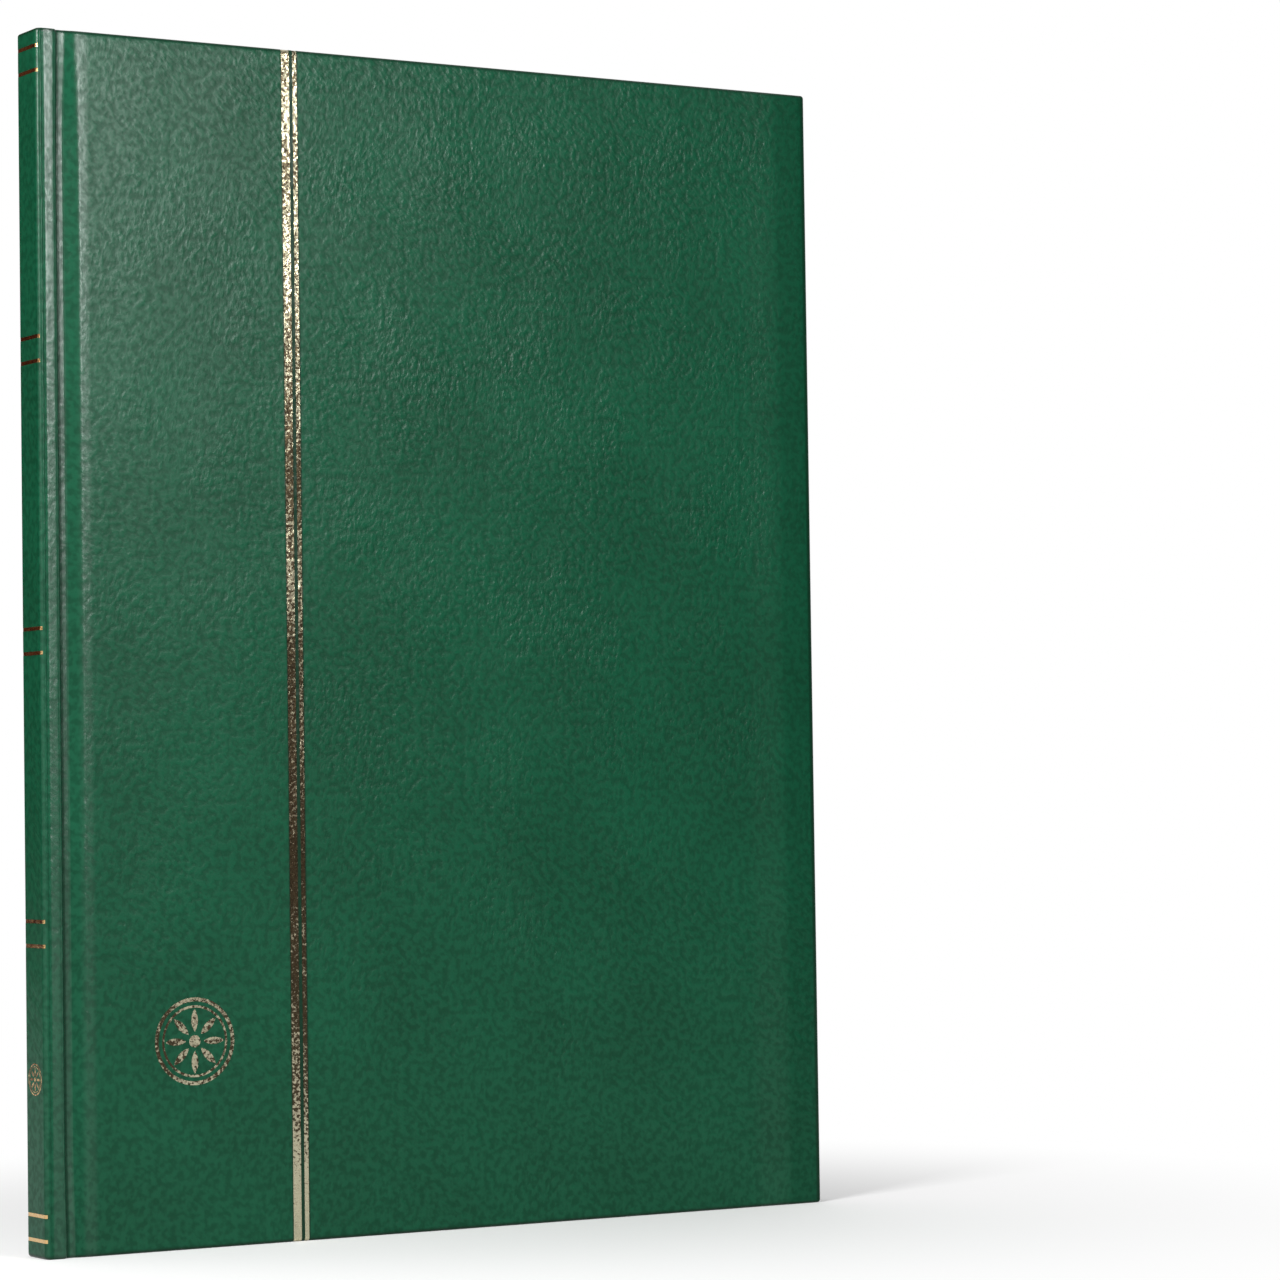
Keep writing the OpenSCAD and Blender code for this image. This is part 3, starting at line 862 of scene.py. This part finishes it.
def make_world():
    """White surroundings. As a lamp they are dimmer than they look, except behind the album."""
    world = bpy.data.worlds.new("studio")
    world.use_nodes = True
    bpy.context.scene.world = world
    nodes, links = world.node_tree.nodes, world.node_tree.links
    rays = nodes.new("ShaderNodeLightPath").outputs
    seen = rays["Is Camera Ray"]
    for kind in ("Is Glossy Ray", "Is Transmission Ray"):
        either = nodes.new("ShaderNodeMath")
        either.operation = "MAXIMUM"
        links.new(seen, either.inputs[0])
        links.new(rays[kind], either.inputs[1])
        seen = either.outputs[0]
    place = nodes.new("ShaderNodeTexCoord").outputs["Generated"]
    parts = nodes.new("ShaderNodeSeparateXYZ")
    links.new(place, parts.inputs[0])
    lit = nodes.new("ShaderNodeMapRange")
    links.new(parts.outputs["Y"], lit.inputs["Value"])
    lit.inputs["To Min"].default_value = AMBIENT
    lit.inputs["To Max"].default_value = BEHIND
    strength = nodes.new("ShaderNodeMapRange")
    links.new(seen, strength.inputs["Value"])
    links.new(lit.outputs[0], strength.inputs["To Min"])
    strength.inputs["To Max"].default_value = 1.0
    links.new(strength.outputs[0], nodes["Background"].inputs["Strength"])
    nodes["Background"].inputs["Color"].default_value = (1, 1, 1, 1)


def make_softbox(name, place, size, power):
    """A square area lamp that faces the album."""
    lamp = bpy.data.lights.new(name, "AREA")
    lamp.shape = "SQUARE"
    lamp.size = size
    lamp.energy = power
    made = bpy.data.objects.new(name, lamp)
    bpy.context.scene.collection.objects.link(made)
    made.location = place
    made.rotation_mode = "QUATERNION"
    made.rotation_quaternion = (Vector(LAMP_AIM) - Vector(place)).to_track_quat("-Z", "Y")
    made.visible_camera = False


def make_card(name, foot, turn, width, height, colour):
    """An upright card near the album that only shows in its reflections."""
    look = Look(name)
    shade = look.mixed(look.noise(look.spot(), 6.0), [0.9 * c for c in colour],
                       [1.1 * c for c in colour])
    look.finish(Base_Color=shade, Roughness=1.0, Specular_IOR_Level=0.0)
    half = width / 2
    mesh = bpy.data.meshes.new(name)
    mesh.from_pydata([(-half, 0, 0), (half, 0, 0), (half, 0, height), (-half, 0, height)],
                     [], [(0, 1, 2, 3)])
    mesh.materials.append(look.material)
    made = bpy.data.objects.new(name, mesh)
    bpy.context.scene.collection.objects.link(made)
    made.location = foot
    made.rotation_euler = (0, 0, math.radians(turn))
    for ray in ("camera", "diffuse", "transmission", "volume_scatter", "shadow"):
        setattr(made, "visible_" + ray, False)


DARK_BROWN = (0.10, 0.032, 0.020)
ROOM_GREY = (0.14, 0.14, 0.14)
LAMP_AIM = (0, 0, 0.16)

CAMERA_PLACE = (-0.5430, -0.9786, 0.1121)
CAMERA_TURN = -31.756  # degrees from straight at the front cover, negative to the right
CAMERA_TILT = 2.090  # degrees above the horizon
CAMERA_ROLL = -0.809
CAMERA_LENS = 119.88  # mm, on a film 36 mm wide


def make_camera():
    """The photograph's view: the front cover and the spine, from just above the floor."""
    data = bpy.data.cameras.new("camera")
    data.lens = CAMERA_LENS
    data.sensor_width = 36.0
    made = bpy.data.objects.new("camera", data)
    bpy.context.scene.collection.objects.link(made)
    made.matrix_world = (
        Matrix.Translation(CAMERA_PLACE)
        @ Matrix.Rotation(math.radians(CAMERA_TURN), 4, "Z")
        @ Matrix.Rotation(math.radians(90 + CAMERA_TILT), 4, "X")
        @ Matrix.Rotation(math.radians(CAMERA_ROLL), 4, "Z")
    )
    bpy.context.scene.camera = made


# ---- The scene ----


def dress_frame():
    """Gives the CAD nodes that show their materials."""
    looks = {
        "board": paper("greyboard", (0.36, 0.31, 0.25), (0.25, 0.21, 0.16), 0.9),
        "lining": weave("mull", (0.62, 0.55, 0.42), (0.34, 0.28, 0.2), 0.9 * MM),
        "stub_card": paper("stub_card", (0.03, 0.03, 0.032), (0.014, 0.014, 0.015), 0.8),
        "filler_card": paper("filler_card", (0.5, 0.43, 0.32), (0.38, 0.32, 0.23), 0.9),
        "page_card": paper("page_card", (0.022, 0.022, 0.025), (0.013, 0.013, 0.015), 0.72),
        "linen": weave("linen", (0.05, 0.05, 0.052), (0.012, 0.012, 0.013), 0.45 * MM),
        "clear_film": clear_film(),
    }
    slots = {part["node"]: part["material_slot"] for part in frame["record"]["subparts"]}
    for name, node in NODES.items():
        if slots[name] in looks:
            node.data.materials.clear()
            node.data.materials.append(looks[slots[name]])


def main():
    bpy.context.scene.view_settings.view_transform = "Standard"
    make_camera()
    make_world()
    make_floor()
    make_softbox("sheen", (0.49, -1.9, 0.65), 0.34, 21.5)
    make_softbox("side", (-0.63, -0.37, 0.52), 0.22, 6.7)
    make_card("left_card", (-0.515, 0.915, 0), 24.0, 1.8, 1.4, DARK_BROWN)
    make_card("low_card", (0.45, -1.08, 0), 28.0, 1.3, 0.2, DARK_BROWN)
    make_card("room_card", (1.26, -2.27, 0), 29.0, 3.2, 1.8, ROOM_GREY)
    dress_frame()
    skin = Skin()
    leather = leatherette(skin)
    line_gold = gold_foil("line_gold", *COVER_GOLD, LINE_WEAR_AND_REFLECTION)
    cover_gold = gold_foil("cover_gold", *COVER_GOLD)
    spine_gold = gold_foil("spine_gold", *SPINE_GOLD)
    black = paper("endpaper", (0.03, 0.03, 0.033), (0.016, 0.016, 0.018), 0.75)
    front = make_leatherette(skin, "front", leather)
    back = make_leatherette(skin, "back", leather)
    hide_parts("front_leatherette", "spine_leatherette")
    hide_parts("back_leatherette")
    for side in ("front", "back"):
        make_endpaper(side, black)
    make_gold_lines(skin, line_gold)
    make_fillets(skin, spine_gold)
    make_rosette("cover_rosette", "front_cover", Vector((0, -1, 0)), cover_gold)
    make_rosette("spine_rosette", "spine", Vector((-1, 0, 0)), spine_gold)
    sheet = glassine()
    for name in NODES:
        if name.startswith("interleaf_") and name[-1].isdigit():
            make_interleaf(int(name.split("_")[1]), sheet)


main()
